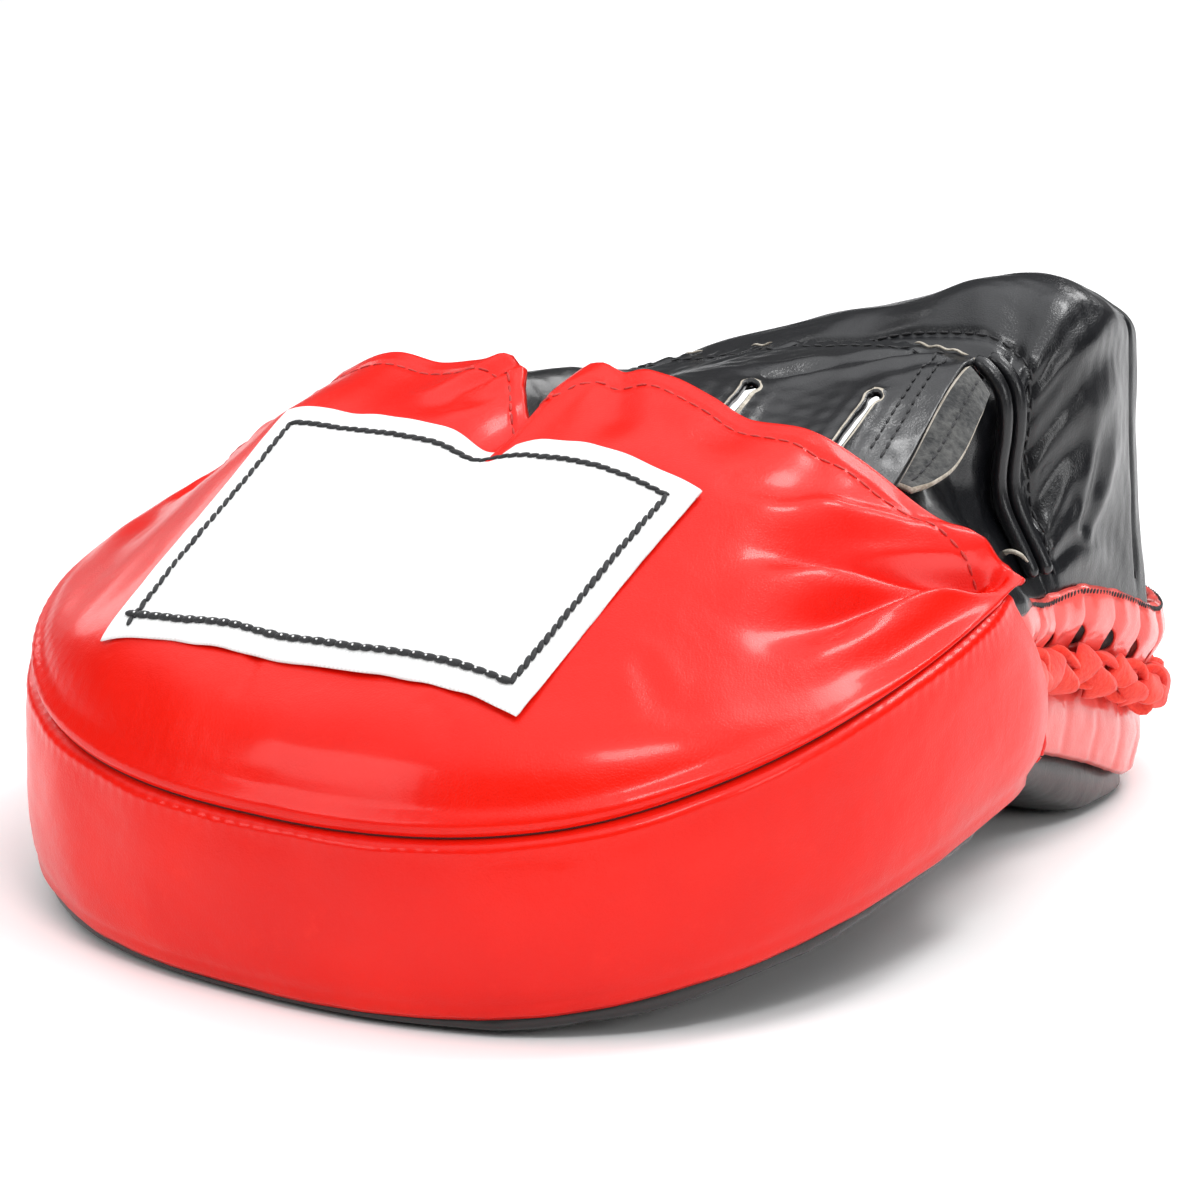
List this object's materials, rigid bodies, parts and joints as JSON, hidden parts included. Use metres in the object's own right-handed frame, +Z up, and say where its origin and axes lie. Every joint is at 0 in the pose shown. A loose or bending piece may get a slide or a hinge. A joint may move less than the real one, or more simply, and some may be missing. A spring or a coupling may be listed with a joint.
{
  "type": "focus mitt",
  "caption": "Focus mitt: an arched striking pad with side bands, a hood over the fingers, a slit finger panel and a padded cuff that is open at the wrist.",
  "frame": {"origin": "on the floor under the middle of the mitt, halfway between the finger end and the back of the lace", "axes": "+X towards the thumb side shown in the picture, +Y from the fingertips to the wrist, +Z up from the striking face"},
  "size_m": [0.2, 0.2622, 0.1188],
  "materials": {
    "strike_leather": "smooth black leather, satin",
    "band_leather": "glossy red leather, fine grain",
    "heel_leather": "glossy red leather with pleats at the lace slots",
    "lace_suede": "red suede-like lace",
    "hood_leather": "glossy red leather with soft folds",
    "label_weave": "white woven label, bare, black chain-stitch border",
    "panel_leather": "black leather with creases and raw cream edges",
    "flesh_side": "rough grey flesh side of the leather, cream cut edges",
    "gusset_leather": "soft black leather",
    "cuff_leather": "padded black leather with a blue-grey sheen and wrinkles",
    "welt_leather": "black leather piping"
  },
  "bodies": {
    "root": {"strike_pad": "strike_leather", "front_band": "band_leather", "heel_band": "heel_leather", "side_lace": "lace_suede", "hood": "hood_leather", "label_patch": "label_weave", "finger_panel": "panel_leather", "panel_seam_strip": "flesh_side", "side_gusset_near": "gusset_leather", "side_gusset_far": "gusset_leather", "hand_cuff": "cuff_leather", "cuff_welt_front": "welt_leather", "cuff_welt_rear": "welt_leather"}
  },
  "joints": []
}
